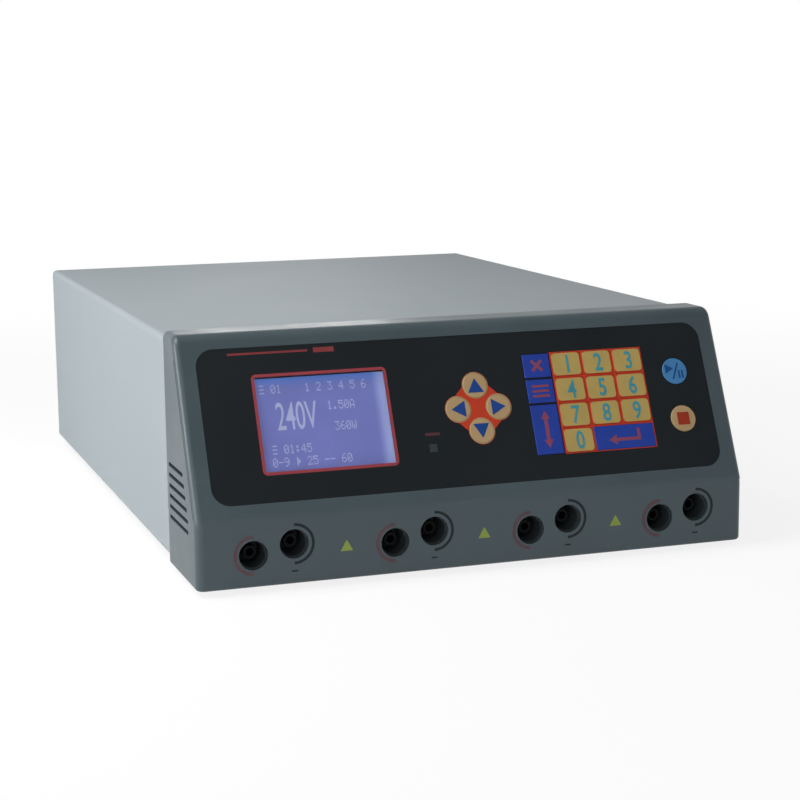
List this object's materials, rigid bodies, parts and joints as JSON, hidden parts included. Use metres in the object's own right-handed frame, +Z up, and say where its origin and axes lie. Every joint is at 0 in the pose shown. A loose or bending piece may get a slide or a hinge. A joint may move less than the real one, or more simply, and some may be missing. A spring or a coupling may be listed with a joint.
{
  "type": "electrophoresis power supply",
  "caption": "Bench power supply with a slanted keypad and display front, paired output sockets below, a folded metal case, and fan, mains inlet and switch at the back.",
  "frame": {"origin": "middle of the box, on the surface that the feet stand on", "axes": "+X to the right seen from the front, +Y to the back, +Z up"},
  "size_m": [0.3, 0.428, 0.125],
  "materials": {
    "bezel_plastic": "fine moulded grain, slate grey",
    "overlay_film": "satin printed polyester film, near black",
    "display_window": "clear acrylic window",
    "display_metal": "tinned metal frame on a green board",
    "lamp_body": "grey diffused lamp",
    "dome_steel": "stamped spring steel",
    "circuit_board": "green solder mask",
    "socket_plastic": "black moulded",
    "contact_brass": "plated brass",
    "case_paint": "light grey powder coat, fine texture",
    "chassis_steel": "zinc plated sheet steel",
    "screw_steel": "zinc plated",
    "foot_rubber": "black rubber",
    "ferrite": "ground ferrite",
    "winding_tape": "yellow tape over copper",
    "capacitor_sleeve": "dark shrink sleeve",
    "heatsink_aluminium": "extruded, clear anodised",
    "device_plastic": "black epoxy",
    "filter_can": "tinned steel can",
    "ribbon_grey": "grey flat cable",
    "fan_plastic": "black glass-filled",
    "inlet_plastic": "black moulded",
    "fuse_glass": "glass body with nickel caps",
    "rocker_plastic": "black moulded",
    "key_cream": "amber cream printed keytop",
    "key_blue": "deep blue printed keytop",
    "key_run_blue": "sky blue printed keytop"
  },
  "bodies": {
    "case": {"front_bezel": "bezel_plastic", "membrane_overlay": "overlay_film", "lcd_lens": "display_window", "lcd_module": "display_metal", "status_led": "lamp_body", "snap_domes": "dome_steel", "keypad_board": "circuit_board", "plus_sockets": "socket_plastic", "minus_sockets": "socket_plastic", "socket_contacts": "contact_brass", "contact_sleeves": "socket_plastic", "output_board": "circuit_board", "top_cover": "case_paint", "bottom_chassis": "chassis_steel", "rear_panel": "case_paint", "cover_screws": "screw_steel", "bezel_screws": "screw_steel", "rear_panel_screws": "screw_steel", "rubber_feet": "foot_rubber", "power_board": "circuit_board", "board_standoffs": "screw_steel", "board_screws": "screw_steel", "transformer_core": "ferrite", "transformer_winding": "winding_tape", "bulk_capacitors": "capacitor_sleeve", "heatsinks": "heatsink_aluminium", "power_transistors": "device_plastic", "output_choke": "ferrite", "line_filter": "filter_can", "ribbon_cable": "ribbon_grey", "fan_frame": "fan_plastic", "finger_guard": "screw_steel", "fan_screws": "screw_steel", "iec_inlet": "inlet_plastic", "inlet_pins": "contact_brass", "switch_housing": "inlet_plastic"},
    "key_0": {"key_0": "key_cream"},
    "key_1": {"key_1": "key_cream"},
    "key_2": {"key_2": "key_cream"},
    "key_3": {"key_3": "key_cream"},
    "key_4": {"key_4": "key_cream"},
    "key_5": {"key_5": "key_cream"},
    "key_6": {"key_6": "key_cream"},
    "key_7": {"key_7": "key_cream"},
    "key_8": {"key_8": "key_cream"},
    "key_9": {"key_9": "key_cream"},
    "key_enter": {"key_enter": "key_blue"},
    "key_blue_upper": {"key_blue_upper": "key_blue"},
    "key_blue_middle": {"key_blue_middle": "key_blue"},
    "key_blue_tall": {"key_blue_tall": "key_blue"},
    "key_up": {"key_up": "key_cream"},
    "key_down": {"key_down": "key_cream"},
    "key_left": {"key_left": "key_cream"},
    "key_right": {"key_right": "key_cream"},
    "key_run": {"key_run": "key_run_blue"},
    "key_stop": {"key_stop": "key_cream"},
    "fan_rotor": {"fan_rotor": "fan_plastic"},
    "fuse_drawer": {"fuse_drawer": "inlet_plastic", "fuses": "fuse_glass"},
    "switch_rocker": {"switch_rocker": "rocker_plastic"}
  },
  "joints": [
    {"name": "key_0_press", "type": "slide", "parent": "case", "child": "key_0", "axis": [0, 0.9083, -0.4182], "range_m": [0, 0.0004], "stiffness_N_per_m": 400},
    {"name": "key_1_press", "type": "slide", "parent": "case", "child": "key_1", "axis": [0, 0.9083, -0.4182], "range_m": [0, 0.0004], "stiffness_N_per_m": 400},
    {"name": "key_2_press", "type": "slide", "parent": "case", "child": "key_2", "axis": [0, 0.9083, -0.4182], "range_m": [0, 0.0004], "stiffness_N_per_m": 400},
    {"name": "key_3_press", "type": "slide", "parent": "case", "child": "key_3", "axis": [0, 0.9083, -0.4182], "range_m": [0, 0.0004], "stiffness_N_per_m": 400},
    {"name": "key_4_press", "type": "slide", "parent": "case", "child": "key_4", "axis": [0, 0.9083, -0.4182], "range_m": [0, 0.0004], "stiffness_N_per_m": 400},
    {"name": "key_5_press", "type": "slide", "parent": "case", "child": "key_5", "axis": [0, 0.9083, -0.4182], "range_m": [0, 0.0004], "stiffness_N_per_m": 400},
    {"name": "key_6_press", "type": "slide", "parent": "case", "child": "key_6", "axis": [0, 0.9083, -0.4182], "range_m": [0, 0.0004], "stiffness_N_per_m": 400},
    {"name": "key_7_press", "type": "slide", "parent": "case", "child": "key_7", "axis": [0, 0.9083, -0.4182], "range_m": [0, 0.0004], "stiffness_N_per_m": 400},
    {"name": "key_8_press", "type": "slide", "parent": "case", "child": "key_8", "axis": [0, 0.9083, -0.4182], "range_m": [0, 0.0004], "stiffness_N_per_m": 400},
    {"name": "key_9_press", "type": "slide", "parent": "case", "child": "key_9", "axis": [0, 0.9083, -0.4182], "range_m": [0, 0.0004], "stiffness_N_per_m": 400},
    {"name": "key_enter_press", "type": "slide", "parent": "case", "child": "key_enter", "axis": [0, 0.9083, -0.4182], "range_m": [0, 0.0004], "stiffness_N_per_m": 400},
    {"name": "key_blue_upper_press", "type": "slide", "parent": "case", "child": "key_blue_upper", "axis": [0, 0.9083, -0.4182], "range_m": [0, 0.0004], "stiffness_N_per_m": 400},
    {"name": "key_blue_middle_press", "type": "slide", "parent": "case", "child": "key_blue_middle", "axis": [0, 0.9083, -0.4182], "range_m": [0, 0.0004], "stiffness_N_per_m": 400},
    {"name": "key_blue_tall_press", "type": "slide", "parent": "case", "child": "key_blue_tall", "axis": [0, 0.9083, -0.4182], "range_m": [0, 0.0004], "stiffness_N_per_m": 400},
    {"name": "key_up_press", "type": "slide", "parent": "case", "child": "key_up", "axis": [0, 0.9083, -0.4182], "range_m": [0, 0.0004], "stiffness_N_per_m": 400},
    {"name": "key_down_press", "type": "slide", "parent": "case", "child": "key_down", "axis": [0, 0.9083, -0.4182], "range_m": [0, 0.0004], "stiffness_N_per_m": 400},
    {"name": "key_left_press", "type": "slide", "parent": "case", "child": "key_left", "axis": [0, 0.9083, -0.4182], "range_m": [0, 0.0004], "stiffness_N_per_m": 400},
    {"name": "key_right_press", "type": "slide", "parent": "case", "child": "key_right", "axis": [0, 0.9083, -0.4182], "range_m": [0, 0.0004], "stiffness_N_per_m": 400},
    {"name": "key_run_press", "type": "slide", "parent": "case", "child": "key_run", "axis": [0, 0.9083, -0.4182], "range_m": [0, 0.0004], "stiffness_N_per_m": 400},
    {"name": "key_stop_press", "type": "slide", "parent": "case", "child": "key_stop", "axis": [0, 0.9083, -0.4182], "range_m": [0, 0.0004], "stiffness_N_per_m": 400},
    {"name": "fan_spin", "type": "hinge", "parent": "case", "child": "fan_rotor", "pos_m": [-0.092, 0.194, 0.064], "axis": [0, 1, 0], "continuous": true},
    {"name": "fuse_drawer_slide", "type": "slide", "parent": "case", "child": "fuse_drawer", "axis": [0, 1, 0], "range_m": [0, 0.018]},
    {"name": "mains_switch_tilt", "type": "hinge", "parent": "case", "child": "switch_rocker", "pos_m": [0.038, 0.207, 0.048], "axis": [-1, 0, 0], "range_deg": [0, 18]}
  ]
}
